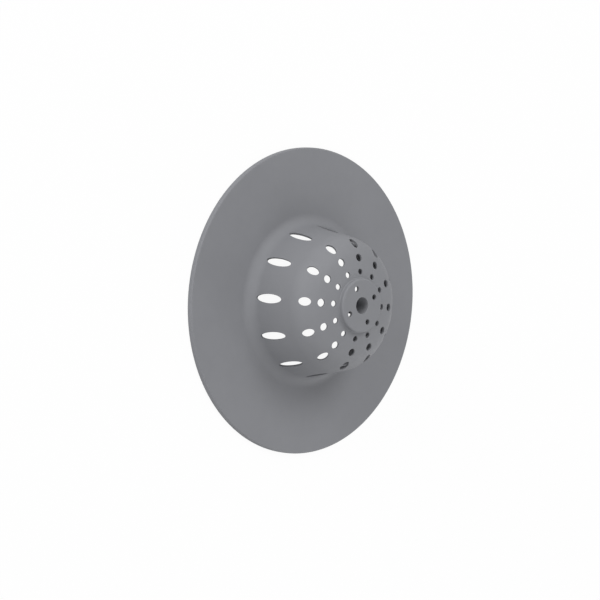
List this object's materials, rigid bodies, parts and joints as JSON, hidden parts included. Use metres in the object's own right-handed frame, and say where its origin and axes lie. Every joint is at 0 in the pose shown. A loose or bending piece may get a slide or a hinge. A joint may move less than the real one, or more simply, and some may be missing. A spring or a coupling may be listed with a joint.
{
  "type": "shower drain strainer",
  "caption": "Round moulded silicone shower drain strainer: a flat flange with a pierced domed basket in its middle that holds back hair.",
  "frame": {"origin": "centre of the flange's flat back, which lies on the floor", "axes": "+Z along the axis of the round form, out of the dome; +X through one hole of each ring"},
  "size_m": [0.127, 0.127, 0.0345],
  "materials": {
    "silicone": "satin grey moulded silicone"
  },
  "bodies": {
    "root": {"strainer": "silicone"}
  },
  "joints": []
}
